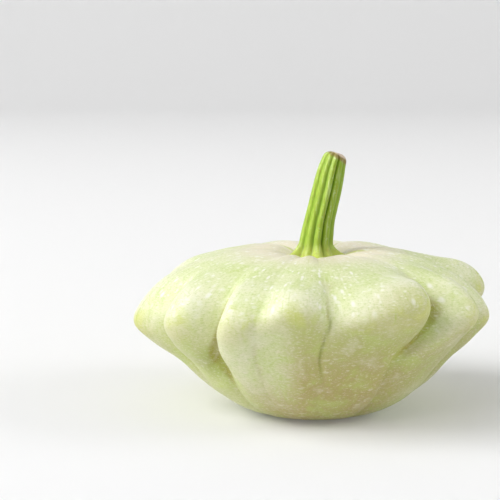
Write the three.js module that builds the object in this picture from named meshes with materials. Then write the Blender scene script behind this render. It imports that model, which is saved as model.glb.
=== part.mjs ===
// A pattypan squash as picked: one scalloped, disc-shaped fruit resting on its blossom end,
// with its ribbed stalk, cut off short, still on top.
// Millimetres, +Z up. The origin is the middle of the flat spot that the fruit rests on.
// Azimuths are in degrees, counted from the front (-Y) towards the right (+X).
import * as THREE from "three";

const DEGREES = Math.PI / 180;

// Meridian of the fruit from the stalk's pit down to the blossom end, as [radius, height] stations.
// The furrow and crest lines have the same stations, so that every lobe is drawn between the two.
const FURROW_LINE = [
  [0, 59.6], // pit floor, under the stalk
  [8, 59.9],
  [18, 62.6], // rim of the pit
  [32, 62.3],
  [44.5, 58.6], // shoulder
  [53, 50.5],
  [56, 40], // waist between two lobes
  [52.5, 30],
  [47, 20.5],
  [39, 10.8],
  [29, 3.2],
  [18, 0], // edge of the flat spot
  [0, 0],
];
const CREST_LINE = [
  [0, 59.6],
  [8, 60.0],
  [18, 63.7],
  [32, 62.9],
  [46.5, 59.0],
  [60.5, 52],
  [69, 41], // tip of the lobe
  [64.5, 31],
  [54.5, 22.5],
  [44, 12],
  [32, 3.8],
  [18.5, 0],
  [0, 0],
];
const RIM_STATION = 2;
const SHOULDER_STATION = 5;
const TIP_STATION = 6;
const UNDER_STATION = 7;
// Stations over which a lobe's own reach, lift, shoulder and undercut fade out.
const REACH_SPREAD = { above: 1.4, below: 1.1 };
const LIFT_SPREAD = { above: 1.2, below: 2.0 };
const SHOULDER_SPREAD = { above: 0.8, below: 0.8 };
const UNDER_SPREAD = { above: 0.7, below: 1.3 };

// The lobes, anticlockwise seen from above. Each has the azimuth of its crest, how much further
// out its tip reaches than the crest line, how much higher the tip sits, how much the shoulder
// above it is raised, how deep it is cut in under the tip, and how sharply its two flanks meet
// their furrows above the tip, from 0 to 1. The furrow before it has an azimuth at the level of
// the tips and one at the foot, a sway sideways on its way down, and a share by which it is
// filled up outside the pit.
const LOBES = [
  {
    furrow: { azimuth: -17.5, foot: -21, sway: 0.5, fill: 0.75 },
    crest: { azimuth: -7, reach: -1.5, lift: 8, shoulder: 2, under: 4, sharp: [0, 0.8] },
  },
  {
    furrow: { azimuth: 4, foot: 4.5, sway: 1.8, fill: 0.45 },
    crest: { azimuth: 34, reach: 3, lift: 8, shoulder: 3.6, under: 6, sharp: [0.2, 0] },
  },
  {
    furrow: { azimuth: 50.5, foot: 33, sway: -1, fill: -0.1 },
    crest: { azimuth: 61, reach: 1, lift: 3, shoulder: 1.5, under: 3, sharp: [0, 0] },
  },
  {
    furrow: { azimuth: 73, foot: 74, sway: 0.5, fill: 0.2 },
    crest: { azimuth: 83, reach: -0.5, lift: -1.5, shoulder: 0, under: 2.5, sharp: [0, 0] },
  },
  {
    furrow: { azimuth: 95, foot: 98, sway: -0.5, fill: 0.1 },
    crest: { azimuth: 106, reach: 3, lift: 4, shoulder: 2, under: 2.5, sharp: [0, 0] },
  },
  {
    furrow: { azimuth: 124, foot: 126, sway: 1, fill: 0 },
    crest: { azimuth: 144, reach: 0.5, lift: -0.5, shoulder: 0, under: 1, sharp: [0, 0] },
  },
  {
    furrow: { azimuth: 160, foot: 157, sway: -1, fill: 0.2 },
    crest: { azimuth: 175, reach: -0.5, lift: 0.5, shoulder: 0.5, under: 1, sharp: [0, 0] },
  },
  {
    furrow: { azimuth: 191, foot: 192, sway: 1, fill: 0 },
    crest: { azimuth: 206, reach: 1, lift: -1, shoulder: 0, under: 1, sharp: [0, 0] },
  },
  {
    furrow: { azimuth: 222, foot: 225, sway: -1, fill: 0.1 },
    crest: { azimuth: 241, reach: 1.5, lift: 1.5, shoulder: 1, under: 0, sharp: [0, 0] },
  },
  {
    furrow: { azimuth: 259, foot: 256, sway: 0.5, fill: 0.1 },
    crest: { azimuth: 277, reach: 2.5, lift: -4, shoulder: 0.5, under: 1.5, sharp: [0, 0] },
  },
  {
    furrow: { azimuth: 294, foot: 292, sway: -0.5, fill: 0.25 },
    crest: { azimuth: 309, reach: 0, lift: 1, shoulder: 1, under: 2, sharp: [0, 0] },
  },
  {
    furrow: { azimuth: 323, foot: 319, sway: 0.5, fill: 0.05 },
    crest: { azimuth: 332.5, reach: 0, lift: 2.5, shoulder: 2, under: 2, sharp: [0, 0.2] },
  },
];
const LOBE_FULLNESS = 1.3; // of a lobe with soft flanks: 1 is a plain wave, more is broader
const LOBE_ROUNDNESS = 2.2; // of a lobe with sharp flanks: 2 is a parabola, more is fuller
const BODY_TURN = 0.6; // share by which a crest's foot moves to the middle of its furrows' feet
const COLUMNS_PER_LOBE = 10;
const RINGS_PER_STATION = 2.5;

// The stalk: the line of its middle and its radius over the ribs there, from the top of the foot
// to the cut, as [x, y, z, radius].
const STALK_LINE = [
  [0.4, 0, 67.6, 6.8],
  [1.6, 0.1, 75, 6.15],
  [3.1, 0.2, 81.6, 6.0],
  [4.4, 0.4, 87.2, 5.95],
  [5.9, 0.6, 94, 5.6],
  [7.3, 0.8, 99, 4.9],
];
// The cut end is rounded: [share of the radius, height over the last place of the line].
const CUT_END = [
  [0.94, 0.9],
  [0.8, 1.8],
  [0.5, 2.5],
];
const CUT_TOP = 2.6;
const MAIN_RIBS = 5; // each with a lower side rib after it
const FIRST_RIB = 8; // azimuth of a main rib
const GROOVE_DEPTH = 0.13; // between two ribs, as a share of the radius
const DEEP_GROOVE = { from: 8, to: 44, depth: 0.32 }; // the one beside the front rib
const SIDE_RIB_DROP = 0.05;
// The foot spreads out over the skin, with an arm at each main rib.
const FOOT_RADIUS = 8.8;
const ARM_REACH = 2.8;
const SIDE_REACH = 0.8;
const FOOT_EDGE = 0.5; // thickness of the foot's edge
const STALK_GAP = 0.35; // clearance between the foot and the skin under it
const COLUMNS_PER_RIB = 6;
const STALK_RINGS = 12;
const FLARE_RINGS = 5;

const { lerp, smoothstep } = THREE.MathUtils;

// A closed surface from rings of points, all with as many points, between two poles.
function closedSurface(poleStart, rings, poleEnd) {
  const columns = rings[0].length;
  const positions = [poleStart, ...rings.flat(), poleEnd].flatMap((p) => [p.x, p.y, p.z]);
  const last = rings.length * columns + 1;
  const at = (ring, column) => 1 + ring * columns + (column % columns);
  const faces = [];
  for (let c = 0; c < columns; c++) {
    faces.push(0, at(0, c), at(0, c + 1));
    for (let r = 0; r + 1 < rings.length; r++) {
      faces.push(at(r, c), at(r + 1, c), at(r + 1, c + 1));
      faces.push(at(r, c), at(r + 1, c + 1), at(r, c + 1));
    }
    faces.push(at(rings.length - 1, c), last, at(rings.length - 1, c + 1));
  }
  const geometry = new THREE.BufferGeometry();
  geometry.setAttribute("position", new THREE.Float32BufferAttribute(positions, 3));
  geometry.setIndex(faces);
  geometry.computeVertexNormals();
  return geometry;
}

function aroundAxis(azimuth, radius, z) {
  const angle = azimuth * DEGREES;
  return new THREE.Vector3(radius * Math.sin(angle), -radius * Math.cos(angle), z);
}

const furrowCurve = new THREE.SplineCurve(FURROW_LINE.map((p) => new THREE.Vector2(...p)));
const crestCurve = new THREE.SplineCurve(CREST_LINE.map((p) => new THREE.Vector2(...p)));
const LAST_STATION = FURROW_LINE.length - 1;

// A bump along the stations, 1 at its middle.
function bump(station, middle, spread) {
  const away = station - middle;
  return Math.exp(-((away / (away < 0 ? spread.above : spread.below)) ** 2));
}

// The crest of one lobe at a station (a number from 0 to LAST_STATION, with fractions).
function crestOf({ crest }, station) {
  const out =
    crest.reach * bump(station, TIP_STATION, REACH_SPREAD) -
    crest.under * bump(station, UNDER_STATION, UNDER_SPREAD);
  const up =
    crest.lift * bump(station, TIP_STATION, LIFT_SPREAD) +
    crest.shoulder * bump(station, SHOULDER_STATION, SHOULDER_SPREAD);
  return crestCurve.getPoint(station / LAST_STATION).add(new THREE.Vector2(out, up));
}

// A furrow that is filled up comes nearer to the crests on its two sides.
function furrowOf(lobe, before, station) {
  const floor = furrowCurve.getPoint(station / LAST_STATION);
  const top = crestOf(lobe, station).lerp(crestOf(before, station), 0.5);
  const fill = lobe.furrow.fill * smoothstep(station, RIM_STATION, SHOULDER_STATION);
  return floor.lerp(top, fill);
}

// From 0 above the tips to 1 in the lower body of the fruit.
function inBody(station) {
  return smoothstep(station, TIP_STATION - 0.7, TIP_STATION + 1.5);
}

function furrowAzimuth({ furrow }, station) {
  const sway = furrow.sway * Math.sin((station - 3) * 0.9);
  return lerp(furrow.azimuth, furrow.foot, inBody(station)) + sway;
}

// The skin at a station, at across = -1 (the furrow before a lobe) to 1 (the furrow after it).
function skinPoint(index, across, station) {
  const lobe = LOBES[index];
  const before = LOBES[(index + LOBES.length - 1) % LOBES.length];
  const after = LOBES[(index + 1) % LOBES.length];
  const fullTurn = index + 1 === LOBES.length ? 360 : 0;
  const sideAzimuth =
    across < 0 ? furrowAzimuth(lobe, station) : furrowAzimuth(after, station) + fullTurn;
  const side = across < 0 ? furrowOf(lobe, before, station) : furrowOf(after, lobe, station);
  const sharp = lerp(lobe.crest.sharp[across < 0 ? 0 : 1], 1, inBody(station));
  const soft = (0.5 + 0.5 * Math.cos(Math.PI * across)) ** (1 / LOBE_FULLNESS);
  const rise = lerp(soft, 1 - Math.abs(across) ** LOBE_ROUNDNESS, sharp);
  const meridian = side.lerp(crestOf(lobe, station), rise);
  const footAzimuth = (lobe.furrow.foot + after.furrow.foot + fullTurn) / 2;
  const crestAzimuth = lerp(lobe.crest.azimuth, footAzimuth, BODY_TURN * inBody(station));
  const azimuth = lerp(crestAzimuth, sideAzimuth, Math.abs(across));
  return aroundAxis(azimuth, meridian.x, Math.max(meridian.y, 0)); // never below the flat spot
}

function skinRing(station) {
  const ring = [];
  LOBES.forEach((_, index) => {
    for (let c = 0; c < COLUMNS_PER_LOBE; c++) {
      ring.push(skinPoint(index, (2 * c) / COLUMNS_PER_LOBE - 1, station));
    }
  });
  return ring;
}

function fruitGeometry() {
  const rings = [];
  const count = Math.round(LAST_STATION * RINGS_PER_STATION);
  for (let r = 1; r < count; r++) {
    rings.push(skinRing((r / count) * LAST_STATION));
  }
  const top = new THREE.Vector3(0, 0, FURROW_LINE[0][1]);
  return closedSurface(top, rings, new THREE.Vector3(0, 0, 0));
}

// Height of the skin in the pit and on its rim, at a radius and azimuth.
function skinHeight(radius, azimuth) {
  const first = LOBES[0].furrow.azimuth;
  const turned = ((((azimuth - first) % 360) + 360) % 360) + first;
  const index = LOBES.findLastIndex((lobe) => lobe.furrow.azimuth <= turned);
  const { crest, furrow } = LOBES[index];
  const end = index + 1 < LOBES.length ? LOBES[index + 1].furrow.azimuth : first + 360;
  const width = turned < crest.azimuth ? crest.azimuth - furrow.azimuth : end - crest.azimuth;
  const across = (turned - crest.azimuth) / width;
  let low = 0;
  let high = SHOULDER_STATION;
  for (let i = 0; i < 24; i++) {
    const middle = (low + high) / 2;
    const { x, y } = skinPoint(index, across, middle);
    if (Math.hypot(x, y) < radius) low = middle;
    else high = middle;
  }
  return skinPoint(index, across, low).z;
}

// 1 on a main rib and 0 on a side rib.
function mainShare(azimuth) {
  return 0.5 + 0.5 * Math.cos(MAIN_RIBS * (azimuth - FIRST_RIB) * DEGREES);
}

// 1 on every rib and 0 in the groove between two.
function ribShare(azimuth) {
  return Math.abs(Math.cos(MAIN_RIBS * (azimuth - FIRST_RIB) * DEGREES));
}

// Radius of the stalk over its ribs and grooves, as a share of its full radius.
function ribbed(azimuth) {
  const deep = azimuth > DEEP_GROOVE.from && azimuth < DEEP_GROOVE.to;
  const depth = deep ? DEEP_GROOVE.depth : GROOVE_DEPTH;
  return 1 - depth * (1 - ribShare(azimuth)) - SIDE_RIB_DROP * (1 - mainShare(azimuth));
}

const stalkCurve = new THREE.CatmullRomCurve3(
  STALK_LINE.map(([x, y, z]) => new THREE.Vector3(x, y, z)),
);
const stalkRadii = new THREE.SplineCurve(STALK_LINE.map((p, i) => new THREE.Vector2(i, p[3])));

// A point of the stalk at a share t of its line, square to it.
function stalkPoint(azimuth, t, share, above) {
  const tilt = new THREE.Quaternion().setFromUnitVectors(
    new THREE.Vector3(0, 0, 1),
    stalkCurve.getTangent(t),
  );
  const radius = stalkRadii.getPoint(t).y * share * ribbed(azimuth);
  return aroundAxis(azimuth, radius, above).applyQuaternion(tilt).add(stalkCurve.getPoint(t));
}

function footPoint(azimuth, share, above) {
  const arm = ARM_REACH * mainShare(azimuth) ** 3 + SIDE_REACH * ribShare(azimuth);
  const radius = (FOOT_RADIUS + arm) * share;
  return aroundAxis(azimuth, radius, skinHeight(radius, azimuth) + above);
}

// Between the edge of the foot and the start of the stalk's line.
function flarePoint(azimuth, up) {
  const edge = footPoint(azimuth, 1, STALK_GAP + FOOT_EDGE);
  const top = stalkPoint(azimuth, 0, 1, 0);
  const point = edge.clone().lerp(top, 1 - (1 - up) ** 1.5);
  point.z = lerp(edge.z, top.z, up ** 1.3);
  return point;
}

function stalkGeometry() {
  const columns = 2 * MAIN_RIBS * COLUMNS_PER_RIB;
  const azimuths = Array.from({ length: columns }, (_, c) => FIRST_RIB + (c * 360) / columns);
  const ring = (pointAt) => azimuths.map(pointAt);
  const rings = [];
  for (const [share, above] of CUT_END.toReversed()) {
    rings.push(ring((a) => stalkPoint(a, 1, share, above)));
  }
  for (let r = STALK_RINGS; r > 0; r--) {
    rings.push(ring((a) => stalkPoint(a, r / STALK_RINGS, 1, 0)));
  }
  for (let r = FLARE_RINGS; r >= 0; r--) {
    rings.push(ring((a) => flarePoint(a, r / FLARE_RINGS)));
  }
  for (const share of [1, 0.75, 0.4]) {
    rings.push(ring((a) => footPoint(a, share, STALK_GAP)));
  }
  const bottom = new THREE.Vector3(0, 0, FURROW_LINE[0][1] + STALK_GAP);
  return closedSurface(stalkPoint(0, 1, 0, CUT_TOP), rings, bottom);
}

const fruit = new THREE.Mesh(
  fruitGeometry(),
  new THREE.MeshStandardMaterial({ color: 0xd3deb0, roughness: 0.45, metalness: 0 }),
);
fruit.name = "fruit";

const stalk = new THREE.Mesh(
  stalkGeometry(),
  new THREE.MeshStandardMaterial({ color: 0x8db63f, roughness: 0.5, metalness: 0 }),
);
stalk.name = "stalk";

const squash = new THREE.Group();
squash.add(fruit, stalk);

export default squash;
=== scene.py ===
"""Pattypan squash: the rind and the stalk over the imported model, with studio, floor and camera."""
import math

import bmesh
import bpy
import numpy as np
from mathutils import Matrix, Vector


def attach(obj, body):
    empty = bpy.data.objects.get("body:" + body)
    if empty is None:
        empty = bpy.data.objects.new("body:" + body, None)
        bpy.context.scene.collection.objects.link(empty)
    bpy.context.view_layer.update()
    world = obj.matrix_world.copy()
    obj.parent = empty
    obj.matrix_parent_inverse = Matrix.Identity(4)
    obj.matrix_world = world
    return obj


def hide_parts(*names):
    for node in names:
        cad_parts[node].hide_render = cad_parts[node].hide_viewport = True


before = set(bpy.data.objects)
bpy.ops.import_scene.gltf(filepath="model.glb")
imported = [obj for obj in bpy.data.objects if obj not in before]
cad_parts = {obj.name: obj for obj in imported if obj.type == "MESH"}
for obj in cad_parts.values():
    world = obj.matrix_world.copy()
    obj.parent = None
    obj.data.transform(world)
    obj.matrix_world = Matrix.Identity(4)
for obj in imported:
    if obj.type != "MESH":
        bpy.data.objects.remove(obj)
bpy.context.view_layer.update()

MM = 0.001
MIDDLE = Vector((0, 0, 40 * MM))    # what the camera and the lights face
SOFTBOX_DISTANCE = 2.5      # metres
SUBDIVISIONS = 2            # of the skins over the facets of the solids
FOOT_SINK = 0.7 * MM        # how far the foot of the stalk goes into the rind
FOOT_TOP = 62 * MM          # height up to which the foot keeps its full sink
SINK_END = 72 * MM          # height from which the stalk stays where it is
CUT_END = 100 * MM          # height above which only the stalk's cut end lies
DEEP_GROOVE_SIDE = 0.8, -0.6, 0     # where the stalk's ribs stand sharp, and where its green is drawn darker as painted shade
LEFT_RIBS_SOFTENED = 0.55   # how far the ribs opposite are worn down
END_SLANT = 0.5             # how much further down the cut end has dried on its right than on its left
SCAR_RADIUS = 8 * MM        # of the blossom scar in the middle of the flat spot
SCAR_DISH = 0.9 * MM        # depth of the dish that the scar lies in
MAIN_RIB_AZIMUTH = 8        # degrees from the front
MAIN_RIB_SPACING = 72       # degrees from one main rib of the stalk to the next
# The fine crease in the front furrow, from the shoulder down: [height, x, depth] in millimetres.
CREASE = [
    [61, 2.0, 0],
    [56, 3.9, 0.1],
    [51, 4.8, 0.25],
    [46, 5.7, 0.65],
    [41, 4.3, 0.7],
    [35, 2.6, 0.75],
    [30, 2.0, 0.65],
    [24, 3.0, 0.5],
    [18, 4.2, 0.35],
    [10, 4.3, 0],
]
CREASE_WIDTH = 0.75 * MM
RIPEST = 33 * MM, -62 * MM, 49 * MM     # the lobe tip that has turned most yellow
# The pit under the left shoulder, where the furrow is widest; the dark green drawn in it is painted shade.
PIT = -36 * MM, -33 * MM, 29 * MM
PIT_DEPTH = 3.2 * MM
PIT_REACH = 8 * MM
# The veins that lead from the foot's arms out over the crown.
VEIN_WIDTH = 0.9 * MM
VEIN_HEIGHT = 0.35 * MM
VEIN_REACH = 15 * MM, 27 * MM
HALF_WAY_UP = 30 * MM       # about half of the fruit's height
HOLLOW_ROUNDS = 60          # of smoothing, to find the rind's hollows by what they fill
SLOPE_ROUNDS = 20           # of smoothing, to read the rind's slope without its dimples
RIB_ROUNDS = 12             # of smoothing, to wear down the stalk's ribs


# Camera, studio and floor

def aim(obj, at):
    obj.rotation_mode = "QUATERNION"
    obj.rotation_quaternion = (Vector(at) - obj.location).to_track_quat("-Z", "Y")


def place_camera():
    """Looks down on the squash by 10.5 degrees from 0.62 m, with a point of its middle at a pixel."""
    distance, elevation, lens = 0.62, math.radians(10.5), 113
    column, row, picture_width = 315, 307.8, 500
    camera = bpy.data.cameras.new("camera")
    camera.lens = lens
    obj = bpy.data.objects.new("camera", camera)
    bpy.context.scene.collection.objects.link(obj)
    obj.location = MIDDLE + Vector((0, -math.cos(elevation), math.sin(elevation))) * distance
    right = Vector((1, 0, 0))
    up = right.cross((MIDDLE - obj.location).normalized())
    pixel = distance * camera.sensor_width / lens / picture_width
    centre = picture_width / 2
    aim(obj, MIDDLE - right * (column - centre) * pixel + up * (row - centre) * pixel)
    bpy.context.scene.camera = obj


def add_softbox(name, azimuth, elevation, size, power):
    """A round softbox aimed at the squash, at an azimuth from the front and a height in degrees."""
    across, up = math.radians(azimuth), math.radians(elevation)
    light = bpy.data.lights.new(name, "AREA")
    light.shape = "DISK"
    light.size = size
    light.energy = power
    obj = bpy.data.objects.new(name, light)
    bpy.context.scene.collection.objects.link(obj)
    toward = Vector((math.cos(up) * math.sin(across), -math.cos(up) * math.cos(across), math.sin(up)))
    obj.location = MIDDLE + toward * SOFTBOX_DISTANCE
    aim(obj, MIDDLE)


def linear(code):
    """sRGB hex to linear colour."""
    parts = [int(code[i:i + 2], 16) / 255 for i in (1, 3, 5)]
    return [c / 12.92 if c <= 0.04045 else ((c + 0.055) / 1.055) ** 2.4 for c in parts] + [1]


def new_material(name):
    material = bpy.data.materials.new(name)
    material.use_nodes = True
    return material, material.node_tree, material.node_tree.nodes["Principled BSDF"]


def add_node(tree, kind, settings=None, links=None):
    """Adds a node, sets its properties and sockets, and links its inputs."""
    node = tree.nodes.new("ShaderNode" + kind)
    for key, value in (settings or {}).items():
        if isinstance(key, str) and hasattr(node, key):
            setattr(node, key, value)
        else:
            node.inputs[key].default_value = value
    for socket, source in (links or {}).items():
        tree.links.new(source, node.inputs[socket])
    return node


def build_stage():
    """White paper sweep: a floor that curves up into a backdrop 2 m behind the squash.
    Matt white paper shows only a soft shadow, and a faint glow of its own keeps it near white."""
    floor_size, backdrop_height, bend_radius = 8, 4, 1
    near_back_edge = 0.375 * floor_size
    bpy.ops.object.select_all(action="DESELECT")
    bpy.ops.mesh.primitive_plane_add(size=floor_size, location=(0, -2, 0))
    sweep = bpy.context.object
    sweep.name = "paper_sweep"
    bpy.ops.object.mode_set(mode="EDIT")
    mesh = bmesh.from_edit_mesh(sweep.data)
    for edge in mesh.edges:
        edge.select_set(all(vertex.co.y > near_back_edge for vertex in edge.verts))
    bmesh.update_edit_mesh(sweep.data)
    bpy.ops.mesh.extrude_region_move(TRANSFORM_OT_translate={"value": (0, 0, backdrop_height)})
    mesh = bmesh.from_edit_mesh(sweep.data)
    for edge in mesh.edges:
        edge.select_set(all(v.co.y > near_back_edge and v.co.z < bend_radius for v in edge.verts))
    bmesh.update_edit_mesh(sweep.data)
    bpy.ops.mesh.bevel(offset=bend_radius, segments=24, affect="EDGES")
    bpy.ops.object.mode_set(mode="OBJECT")
    bpy.ops.object.shade_smooth()
    material, tree, shader = new_material("white_seamless_paper")
    shader.inputs["Base Color"].default_value = linear("#E8E8E8")
    shader.inputs["Roughness"].default_value = 0.9
    shader.inputs["Emission Color"].default_value = linear("#FFFFFF")
    shader.inputs["Emission Strength"].default_value = 0.08
    sweep.data.materials.append(material)
    world = bpy.data.worlds.new("studio")
    bpy.context.scene.world = world
    world.use_nodes = True
    world.node_tree.nodes["Background"].inputs["Color"].default_value = linear("#FFFFFF")
    world.node_tree.nodes["Background"].inputs["Strength"].default_value = 0.03
    bpy.context.scene.view_settings.view_transform = "Standard"


# Meshes

def merged_copy(node, name):
    """A copy of a CAD node's mesh as quads, with its loose triangles joined."""
    bpy.ops.object.select_all(action="DESELECT")
    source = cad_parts[node]
    piece = bpy.data.objects.new(name, source.data.copy())
    bpy.context.scene.collection.objects.link(piece)
    bpy.context.view_layer.objects.active = piece
    piece.select_set(True)
    piece.data.materials.clear()
    bpy.ops.object.mode_set(mode="EDIT")
    bpy.ops.mesh.select_all(action="SELECT")
    bpy.ops.mesh.remove_doubles(threshold=1e-6)
    bpy.ops.mesh.tris_convert_to_quads(face_threshold=1.0, shape_threshold=1.0)
    bpy.ops.object.mode_set(mode="OBJECT")
    return piece


def apply_modifier(piece, name, kind, **settings):
    bpy.context.view_layer.objects.active = piece
    modifier = piece.modifiers.new(name, kind)
    for key, value in settings.items():
        setattr(modifier, key, value)
    bpy.ops.object.modifier_apply(modifier=modifier.name)


def places_of(piece):
    co = np.zeros(len(piece.data.vertices) * 3)
    piece.data.vertices.foreach_get("co", co)
    return co.reshape(-1, 3)


def put_places(piece, co):
    piece.data.vertices.foreach_set("co", co.ravel())
    piece.data.update()


def normals_of(piece):
    normal = np.zeros(len(piece.data.vertices) * 3)
    piece.data.vertices.foreach_get("normal", normal)
    return normal.reshape(-1, 3)


def eased(value, low, high):
    """0 below low, 1 above high, and smooth between them."""
    t = np.clip((value - low) / (high - low), 0, 1)
    return t * t * (3 - 2 * t)


def smoothed(piece, rows, rounds):
    """The numbers that the points have, a row for each, after rounds of taking the neighbours' mean."""
    edges = np.zeros(len(piece.data.edges) * 2, int)
    piece.data.edges.foreach_get("vertices", edges)
    a, b = edges.reshape(-1, 2).T
    neighbours = np.bincount(edges, minlength=len(rows))[:, None]
    for _ in range(rounds):
        total = np.zeros_like(rows)
        for column in range(rows.shape[1]):
            total[:, column] += np.bincount(a, rows[b, column], len(rows))
            total[:, column] += np.bincount(b, rows[a, column], len(rows))
        rows = total / neighbours
    return rows


def store(piece, name, values):
    """Keeps one number for each point, for the materials to read."""
    attribute = piece.data.attributes.new(name, "FLOAT", "POINT")
    attribute.data.foreach_set("value", values.astype(np.float32))


def subdivide(piece):
    apply_modifier(piece, "refine", "SUBSURF", levels=SUBDIVISIONS, render_levels=SUBDIVISIONS)


def refined(node, name):
    """A fine copy of a CAD node, subdivided, with the cage let out first to keep its size."""
    piece = merged_copy(node, name)
    cage = places_of(piece)
    trial = piece.copy()
    trial.data = piece.data.copy()
    bpy.context.scene.collection.objects.link(trial)
    subdivide(trial)
    put_places(piece, 2 * cage - places_of(trial)[:len(cage)])
    bpy.data.objects.remove(trial)
    subdivide(piece)
    return piece


def swell(piece, name, size, depth, group=""):
    """Soft unevenness: swellings of a size across and a depth in all, in metres."""
    texture = bpy.data.textures.new(name, "CLOUDS")
    texture.noise_scale = size
    texture.noise_depth = 1
    apply_modifier(piece, name, "DISPLACE", texture=texture, texture_coords="LOCAL", strength=depth,
                   mid_level=0.5, vertex_group=group)


def build_rind():
    """The fine skin of the fruit, with soft dents, the veins, the front crease, the pit and the dish."""
    rind = refined("fruit", "rind")
    co = places_of(rind)
    reach = np.hypot(co[:, 0], co[:, 1])
    # The dents keep clear of the flat spot and of the stalk.
    free = eased(co[:, 2], 0.5 * MM, 6 * MM) * eased(reach, 14 * MM, 24 * MM)
    group = rind.vertex_groups.new(name="free")
    for index, weight in enumerate(free):
        if weight > 0:
            group.add([index], float(weight), "REPLACE")
    swell(rind, "dents", 16 * MM, 0.7 * MM, "free")
    swell(rind, "dimples", 5 * MM, 0.16 * MM, "free")
    co = places_of(rind)
    heights, middles, depths = np.array(CREASE[::-1]).T * MM
    away = co[:, 0] - np.interp(co[:, 2], heights, middles)
    crease = np.exp(-(away / CREASE_WIDTH) ** 2) * np.interp(co[:, 2], heights, depths) * (co[:, 1] < 0)
    turn = np.degrees(np.arctan2(co[:, 0], -co[:, 1])) - MAIN_RIB_AZIMUTH
    half_way = MAIN_RIB_SPACING / 2
    beside = np.radians((turn + half_way) % MAIN_RIB_SPACING - half_way) * reach
    vein = np.exp(-(beside / VEIN_WIDTH) ** 2) * (1 - eased(reach, *VEIN_REACH)) * (co[:, 2] > HALF_WAY_UP)
    pit = PIT_DEPTH * np.exp(-(np.linalg.norm(co - PIT, axis=1) / PIT_REACH) ** 2)
    co += normals_of(rind) * (VEIN_HEIGHT * vein - crease - pit)[:, None]
    co[:, 2] = np.maximum(co[:, 2], 0)
    dish_floor, dish_rim, underside = SCAR_RADIUS - 1 * MM, SCAR_RADIUS + 2.5 * MM, 5 * MM
    dish = 1 - eased(np.hypot(co[:, 0], co[:, 1]), dish_floor, dish_rim)
    co[:, 2] += SCAR_DISH * dish * (co[:, 2] < underside)
    put_places(rind, co)
    # The crease's depth, which the colour reads to paint the crease darker as shade.
    store(rind, "crease", crease / MM)
    store(rind, "vein", vein)
    # How deep each point lies in a hollow, which the colour reads to paint the hollows darker, partly as
    # painted shade.
    filled = smoothed(rind, co, HOLLOW_ROUNDS)
    store(rind, "hollow", ((filled - co) * normals_of(rind)).sum(1) / MM)
    # How far each point faces down, which the rind's colour reads to paint shade on the undersides.
    store(rind, "under", smoothed(rind, -normals_of(rind)[:, 2:], SLOPE_ROUNDS)[:, 0])
    bpy.ops.object.shade_smooth()
    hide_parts("fruit")
    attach(rind, "root")
    return rind


def build_stalk():
    """The fine skin of the stalk, with its left ribs worn down and its foot let into the rind."""
    stalk = refined("stalk", "stalk_skin")
    co = places_of(stalk)
    even = smoothed(stalk, co, RIB_ROUNDS)
    side = smoothed(stalk, normals_of(stalk), RIB_ROUNDS) @ DEEP_GROOVE_SIDE
    co += (even - co) * (LEFT_RIBS_SOFTENED * eased(side, 0.35, -0.25))[:, None]
    put_places(stalk, co)
    # Which way each point faces, which the colour reads to paint the side away from the key light darker.
    store(stalk, "side", side)
    store(stalk, "groove", ((even - co) * normals_of(stalk)).sum(1) / MM)
    foot, top = co[co[:, 2] < FOOT_TOP].mean(0), co[co[:, 2] > CUT_END].mean(0)
    lengthwise = (top - foot) / np.linalg.norm(top - foot) + (END_SLANT, 0, 0)
    along = co @ lengthwise
    store(stalk, "below_end", (along.max() - along) / MM)
    co[:, 2] -= FOOT_SINK * (1 - eased(co[:, 2], FOOT_TOP, SINK_END))
    put_places(stalk, co)
    bpy.ops.object.shade_smooth()
    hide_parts("stalk")
    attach(stalk, "root")
    return stalk


def build_scar():
    """The scar that the flower left: a corky plate with a ragged edge, sunk into the flat spot."""
    bpy.ops.object.select_all(action="DESELECT")
    lowest, thickness = 0.2 * MM, 0.7 * MM
    bpy.ops.mesh.primitive_cylinder_add(vertices=60, radius=SCAR_RADIUS, depth=thickness,
                                        location=(0, 0, lowest + thickness / 2))
    scar = bpy.context.object
    scar.name = "blossom_scar"
    bpy.ops.object.transform_apply(location=True)
    bpy.ops.object.mode_set(mode="EDIT")
    bpy.ops.mesh.select_all(action="DESELECT")
    mesh = bmesh.from_edit_mesh(scar.data)
    for face in mesh.faces:
        face.select_set(face.normal.z < -0.9)
    bmesh.update_edit_mesh(scar.data)
    for inset, rise in ((0.5, 0), (0.7, 0.25), (2.0, -0.1), (2.4, 0.1), (1.3, -0.15)):
        bpy.ops.mesh.inset(thickness=inset * MM)
        bpy.ops.transform.translate(value=(0, 0, rise * MM))
    bpy.ops.mesh.poke()
    bpy.ops.object.mode_set(mode="OBJECT")
    co = places_of(scar)
    azimuth = np.arctan2(co[:, 0], -co[:, 1])
    ragged = 0.07 * np.cos(10 * azimuth + 0.4) + 0.03 * np.cos(7 * azimuth + 2)
    ragged += 0.02 * np.cos(23 * azimuth)
    reach = np.hypot(co[:, 0], co[:, 1]) / SCAR_RADIUS
    co[:, :2] *= (1 + ragged * reach ** 3)[:, None]
    put_places(scar, co)
    subdivide(scar)
    swell(scar, "cork", 1.2 * MM, 0.25 * MM)
    bpy.ops.object.shade_smooth()
    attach(scar, "root")
    return scar


# Materials

def polar(tree, place):
    """The azimuth as a point on a circle of radius 1, the reach from the axis, and the rise angle."""
    parts = add_node(tree, "SeparateXYZ", {}, {0: place})
    flat = add_node(tree, "CombineXYZ", {}, {"X": parts.outputs["X"], "Y": parts.outputs["Y"]}).outputs[0]
    circle = add_node(tree, "VectorMath", {"operation": "NORMALIZE"}, {0: flat}).outputs["Vector"]
    reach = add_node(tree, "VectorMath", {"operation": "LENGTH"}, {0: flat}).outputs["Value"]
    height = add_node(tree, "Math", {"operation": "SUBTRACT", 1: HALF_WAY_UP}, {0: parts.outputs["Z"]})
    rise = add_node(tree, "Math", {"operation": "ARCTAN2"}, {0: height.outputs[0], 1: reach}).outputs[0]
    return circle, reach, rise, parts.outputs["Z"]


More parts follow.
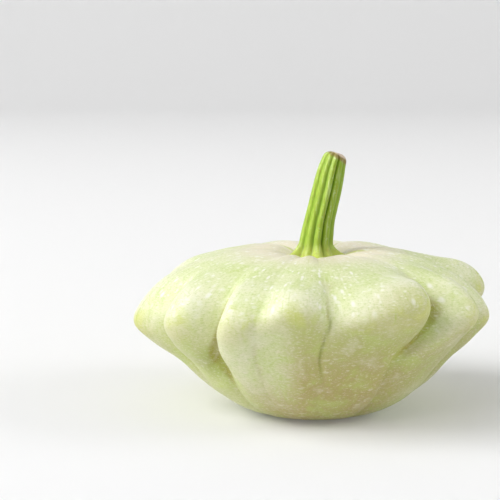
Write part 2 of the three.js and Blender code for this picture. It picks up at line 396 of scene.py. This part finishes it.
def layered(tree, colour, shares, tints):
    """Lays tints over a colour, given as a hex code or a socket. Each tint shows where all the shares
    that it names are high."""
    for names, most, code in tints:
        amount = add_node(tree, "Math", {"operation": "MULTIPLY", 1: most}, {0: shares[names[0]]})
        for name in names[1:]:
            amount = add_node(tree, "Math", {"operation": "MULTIPLY"},
                              {0: amount.outputs[0], 1: shares[name]})
        mix = add_node(tree, "Mix", {"data_type": "RGBA", 7: linear(code)}, {0: amount.outputs[0]})
        if isinstance(colour, str):
            mix.inputs[6].default_value = linear(colour)
        else:
            tree.links.new(colour, mix.inputs[6])
        colour = mix.outputs[2]
    return colour


def rind_material():
    """Living rind of a summer squash: thin, pale green and waxy, which gives it a soft satin gloss.
    Chlorophyll lies under it in clouds and in fine grains, with pale breathing spots between."""
    material, tree, shader = new_material("waxy_squash_rind")
    place = add_node(tree, "TexCoord").outputs["Object"]
    circle, reach, rise, height = polar(tree, place)
    hollow = add_node(tree, "Attribute", {"attribute_name": "hollow"}).outputs["Fac"]
    under = add_node(tree, "Attribute", {"attribute_name": "under"}).outputs["Fac"]
    crease = add_node(tree, "Attribute", {"attribute_name": "crease"}).outputs["Fac"]
    vein = add_node(tree, "Attribute", {"attribute_name": "vein"}).outputs["Fac"]

    # Lengthwise fibres: a noise drawn out along each meridian, without a seam.
    around = add_node(tree, "VectorMath", {"operation": "SCALE", "Scale": 44}, {0: circle}).outputs[0]
    along = add_node(tree, "Math", {"operation": "MULTIPLY", 1: 5}, {0: rise}).outputs[0]
    spread = add_node(tree, "SeparateXYZ", {}, {0: around})
    fibre_place = add_node(tree, "CombineXYZ", {}, {"X": spread.outputs["X"], "Y": spread.outputs["Y"],
                                                    "Z": along}).outputs[0]
    fibres = add_node(tree, "TexNoise", {"Scale": 1, "Detail": 3, "Roughness": 0.6},
                      {"Vector": fibre_place}).outputs["Fac"]
    # The rind grew wider faster than higher, so its grains and spots are drawn out sideways. The real
    # grains are finer than the picture can show, so they are drawn about a millimetre wide.
    flattened = add_node(tree, "Mapping", {"Scale": (1, 1, 2.2)}, {"Vector": place}).outputs[0]
    grains = add_node(tree, "TexNoise", {"Scale": 1 / (1.15 * MM), "Detail": 4, "Roughness": 0.75},
                      {"Vector": flattened}).outputs["Fac"]
    clouds = add_node(tree, "TexNoise", {"Scale": 1 / (11 * MM), "Detail": 3, "Roughness": 0.6,
                                         "Distortion": 0.5}, {"Vector": place}).outputs["Fac"]
    toward_front = add_node(tree, "VectorMath", {"operation": "DOT_PRODUCT", 1: (0.12, -0.99, 0)},
                            {0: circle}).outputs["Value"]
    toward_right = add_node(tree, "VectorMath", {"operation": "DOT_PRODUCT", 1: (0.97, -0.25, 0)},
                            {0: circle}).outputs["Value"]
    from_ripest = add_node(tree, "VectorMath", {"operation": "DISTANCE", 1: RIPEST}, {0: place})
    from_pit = add_node(tree, "VectorMath", {"operation": "DISTANCE", 1: PIT}, {0: place})
    toward_left_front = add_node(tree, "VectorMath", {"operation": "DOT_PRODUCT", 1: (-0.407, -0.914, 0)},
                                 {0: circle}).outputs["Value"]

    # How strongly each feature shows: not at all at the low value, in full at the high one.
    shares = {}
    for name, value, low, high in (
        ("under", under, -0.75, 0.75),
        ("shaded front", toward_front, 0.60, 0.99),
        ("painted lit side", toward_left_front, 0.935, 1.0),
        ("shaded right side", toward_right, 0.70, 0.98),
        ("low", height, 44 * MM, 18 * MM),
        ("not low", height, 5 * MM, 26 * MM),
        ("ripe", from_ripest.outputs["Value"], 17 * MM, 5 * MM),
        ("pit", from_pit.outputs["Value"], 13 * MM, 4 * MM),
        ("level", under, -0.70, -0.99),
        ("upper", under, 0.2, -0.7),
        ("hollow", hollow, 0.05, 1.1),
        ("crest", hollow, -0.5, -2.6),
        ("green cloud", clouds, 0.44, 0.70),
        ("pale cloud", clouds, 0.50, 0.26),
        ("green grain", grains, 0.50, 0.64),
        ("pale grain", grains, 0.47, 0.34),
        ("green fibre", fibres, 0.54, 0.72),
        ("pale fibre", fibres, 0.46, 0.30),
        ("crown reach", reach, 42 * MM, 20 * MM),
        ("crown height", height, 50 * MM, 56 * MM),
        ("tip", reach, 62 * MM, 70 * MM),
        ("crease", crease, 0.2, 0.8),
        ("vein", vein, 0.1, 0.9),
    ):
        shares[name] = add_node(tree, "MapRange", {"interpolation_type": "SMOOTHSTEP", "From Min": low,
                                                   "From Max": high}, {"Value": value}).outputs[0]

    # Pale breathing spots of uneven size: the widest covers that share of the spots' spacing.
    lengthwise = add_node(tree, "Mapping", {"Scale": (0.5, 0.5, 2.6)}, {"Vector": fibre_place}).outputs[0]
    for name, where, scale, widest in (
        ("fleck", flattened, 1 / (4.2 * MM), 0.30),
        ("dot", flattened, 1 / (2.2 * MM), 0.34),
        ("long fleck", lengthwise, 1, 0.30),
    ):
        cells = add_node(tree, "TexVoronoi", {"Scale": scale}, {"Vector": where})
        draw = add_node(tree, "SeparateColor", {}, {0: cells.outputs["Color"]}).outputs[0]
        edge = add_node(tree, "Math", {"operation": "MULTIPLY", 1: widest}, {0: draw}).outputs[0]
        inside = add_node(tree, "Math", {"operation": "SUBTRACT"}, {0: edge, 1: cells.outputs["Distance"]})
        soft = add_node(tree, "MapRange", {"interpolation_type": "SMOOTHSTEP", "From Min": -0.12,
                                           "From Max": 0.16}, {"Value": inside.outputs[0]})
        shares[name] = soft.outputs[0]

    # The rind's own tones, with painted shade and painted light laid over them according to which way each
    # face turns.
    colour = layered(tree, "#E2E8B8", shares, [
        # The crests are drawn paler and creamier: partly their own paler tone, partly a painted highlight.
        (("crest",), 0.50, "#F7F4E2"),
        # Painted shade: faces turned straight up are drawn a little darker and greener, toning down the
        # light they catch.
        (("level",), 0.30, "#C6D190"),
        # Painted shade: faces that turn downward are drawn darker and yellower.
        (("under",), 0.68, "#C2C47A"),
        # Painted shade: the lower front flanks, away from the key light, are drawn olive and tan, darker
        # towards the bottom.
        (("under", "shaded front"), 0.55, "#ABAA50"),
        (("low", "shaded front"), 0.60, "#B09058"),
        # Painted light: on the left-front flank, toward the key light, the downward faces are drawn paler.
        (("under", "painted lit side", "not low"), 0.75, "#E9ECC6"),
        # Painted shade: downward faces on the right side, away from the key light, are drawn darker and
        # browner.
        (("under", "shaded right side", "not low"), 0.35, "#A8944E"),
        (("ripe",), 0.70, "#C9CA8C"),
        # Painted shade: the deep pit under the left shoulder is drawn dark green.
        (("pit",), 0.70, "#92A030"),
        # The hollows are drawn darker olive: partly the furrows' own deeper green, partly painted shade.
        (("hollow",), 0.85, "#A2982C"),
        (("green cloud",), 0.50, "#C4D678"),
        (("pale cloud",), 0.30, "#F4EFDC"),
        (("green grain",), 0.40, "#B0C354"),
        (("pale grain",), 0.40, "#F3F3DC"),
        (("green fibre", "upper"), 0.30, "#BFCF78"),
        (("pale fibre", "upper"), 0.35, "#EEF1D6"),
        (("crown reach", "crown height"), 0.75, "#F0E3D4"),
        (("crown reach", "crown height", "green fibre"), 0.6, "#CDCF80"),
        (("tip", "crest", "green cloud"), 0.6, "#DBDD72"),
        # The tips' downturned faces are drawn yellow-tan: partly their own ripening colour, partly painted
        # shade.
        (("tip", "under"), 0.35, "#C6BF66"),
        (("vein",), 0.65, "#BFCB50"),
        (("tip", "green fibre"), 0.5, "#B7C850"),
        (("dot", "upper"), 0.60, "#F7F8E8"),
        (("fleck", "upper"), 0.50, "#F9F9EE"),
        (("long fleck", "upper"), 0.75, "#FBFAF2"),
        # Painted shade: the same flecks are drawn dimmer on downward faces than on upward ones.
        (("dot", "under"), 0.20, "#E3E3BE"),
        (("fleck", "under"), 0.40, "#E9E4CC"),
        # Painted shade: the fine crease is drawn darker, by its depth.
        (("crease",), 0.50, "#969A4C"),
    ])
    tree.links.new(colour, shader.inputs["Base Color"])
    gloss = add_node(tree, "MapRange", {"To Min": 0.36, "To Max": 0.50}, {"Value": grains}).outputs[0]
    tree.links.new(gloss, shader.inputs["Roughness"])
    shader.inputs["Subsurface Weight"].default_value = 0.12
    shader.inputs["Subsurface Radius"].default_value = (1.0, 0.9, 0.4)
    shader.inputs["Subsurface Scale"].default_value = 2 * MM
    relief = add_node(tree, "Math", {"operation": "MULTIPLY_ADD", 1: 0.6}, {0: grains, 2: fibres})
    bump = add_node(tree, "Bump", {"Strength": 0.35, "Distance": 0.25 * MM},
                    {"Height": relief.outputs[0]})
    tree.links.new(bump.outputs[0], shader.inputs["Normal"])
    return material


def stalk_material():
    """Fresh green stalk: pale, slightly shiny ribs over dark green grooves, with fine long fibres. The
    grooves' darkness is partly their own deeper green, partly painted shade.
    """
    material, tree, shader = new_material("fresh_cut_stalk")
    place = add_node(tree, "TexCoord").outputs["Object"]
    parts = add_node(tree, "SeparateXYZ", {}, {0: place})
    groove = add_node(tree, "Attribute", {"attribute_name": "groove"}).outputs["Fac"]
    below_end = add_node(tree, "Attribute", {"attribute_name": "below_end"}).outputs["Fac"]
    side = add_node(tree, "Attribute", {"attribute_name": "side"}).outputs["Fac"]
    drawn = add_node(tree, "Mapping", {"Scale": (1, 1, 0.08)}, {"Vector": place}).outputs[0]
    fibres = add_node(tree, "TexNoise", {"Scale": 1 / (0.8 * MM), "Detail": 3, "Roughness": 0.6},
                      {"Vector": drawn}).outputs["Fac"]
    clouds = add_node(tree, "TexNoise", {"Scale": 1 / (6 * MM), "Detail": 2},
                      {"Vector": place}).outputs["Fac"]
    # The deeper a point lies in a groove, the darker green it is drawn: partly the groove's own deeper
    # green, partly painted shade.
    tone = add_node(tree, "MapRange", {"From Min": -0.30, "From Max": 0.42}, {"Value": groove}).outputs[0]
    tone = add_node(tree, "Math", {"operation": "MULTIPLY_ADD", 1: 0.6}, {0: fibres, 2: tone}).outputs[0]
    ramp = add_node(tree, "ValToRGB", {}, {"Fac": tone})
    stops = ramp.color_ramp.elements
    stops[0].position, stops[0].color = 0.44, linear("#E2EFB2")
    stops[1].position, stops[1].color = 1.0, linear("#3F6E04")
    for position, code in ((0.62, "#B3CF4A"), (0.85, "#86AE1C")):
        stops.new(position).color = linear(code)
    uneven_end = add_node(tree, "Math", {"operation": "MULTIPLY_ADD", 1: 3.0},
                          {0: clouds, 2: below_end}).outputs[0]
    shares = {}
    for name, value, low, high in (
        ("foot", parts.outputs["Z"], 69 * MM, 61 * MM),
        ("shaded side", side, 0.15, 0.75),
        ("woody streak", fibres, 0.58, 0.70),
        ("pale streak", fibres, 0.44, 0.32),
        ("rib", groove, 0.0, -0.25),
        ("dried rim", uneven_end, 5.2, 3.6),
        ("cut face", uneven_end, 3.0, 2.3),
    ):
        shares[name] = add_node(tree, "MapRange", {"interpolation_type": "SMOOTHSTEP", "From Min": low,
                                                   "From Max": high}, {"Value": value}).outputs[0]
    # Pale dots where bristles stood.
    hairs = add_node(tree, "TexVoronoi", {"Scale": 1 / (1.5 * MM)}, {"Vector": place}).outputs["Distance"]
    shares["hair foot"] = add_node(tree, "MapRange", {"From Min": 0.34, "From Max": 0.20},
                                   {"Value": hairs}).outputs[0]
    colour = layered(tree, ramp.outputs[0], shares, [
        # Painted shade: the stalk's side away from the key light is drawn darker green.
        (("shaded side",), 0.70, "#7C9A04"),
        (("foot",), 0.60, "#D3D968"),
        (("woody streak",), 0.50, "#B59A48"),
        (("pale streak", "rib"), 0.50, "#DDEBAE"),
        (("hair foot", "rib"), 0.70, "#F2F6D8"),
        (("dried rim",), 0.80, "#8C6E3C"),
        (("cut face",), 0.85, "#DCC9B4"),
    ])
    tree.links.new(colour, shader.inputs["Base Color"])
    shader.inputs["Roughness"].default_value = 0.42
    shader.inputs["Subsurface Weight"].default_value = 0.1
    shader.inputs["Subsurface Radius"].default_value = (0.6, 1.0, 0.2)
    shader.inputs["Subsurface Scale"].default_value = 1 * MM
    bump = add_node(tree, "Bump", {"Strength": 0.4, "Distance": 0.3 * MM}, {"Height": fibres})
    tree.links.new(bump.outputs[0], shader.inputs["Normal"])
    return material


def scar_material():
    """Dried blossom scar: dull tan cork, darker at the edge, with fine rays from its middle."""
    material, tree, shader = new_material("corky_blossom_scar")
    place = add_node(tree, "TexCoord").outputs["Object"]
    circle, reach = polar(tree, place)[:2]
    around = add_node(tree, "VectorMath", {"operation": "SCALE", "Scale": 9}, {0: circle}).outputs[0]
    rays = add_node(tree, "TexNoise", {"Scale": 1, "Detail": 3}, {"Vector": around}).outputs["Fac"]
    cork = add_node(tree, "TexNoise", {"Scale": 1 / (0.7 * MM), "Detail": 3},
                    {"Vector": place}).outputs["Fac"]
    edge = add_node(tree, "MapRange", {"From Min": 5.5 * MM, "From Max": SCAR_RADIUS},
                    {"Value": reach}).outputs[0]
    shares = {"ray": rays, "cork": cork, "edge": edge}
    colour = layered(tree, "#C99F66", shares, [
        (("ray",), 1, "#E0B987"),
        (("cork",), 1, "#B98A55"),
        (("edge",), 1, "#8F6334"),
    ])
    tree.links.new(colour, shader.inputs["Base Color"])
    shader.inputs["Roughness"].default_value = 0.85
    bump = add_node(tree, "Bump", {"Strength": 0.6, "Distance": 0.3 * MM}, {"Height": cork})
    tree.links.new(bump.outputs[0], shader.inputs["Normal"])
    return material


place_camera()
add_softbox("key", -76, 36, 1.6, 46)
add_softbox("front_fill", -36, 36, 1.3, 9)
add_softbox("right_fill", 84, 28, 1.2, 15)
build_stage()
build_rind().data.materials.append(rind_material())
build_scar().data.materials.append(scar_material())
build_stalk().data.materials.append(stalk_material())
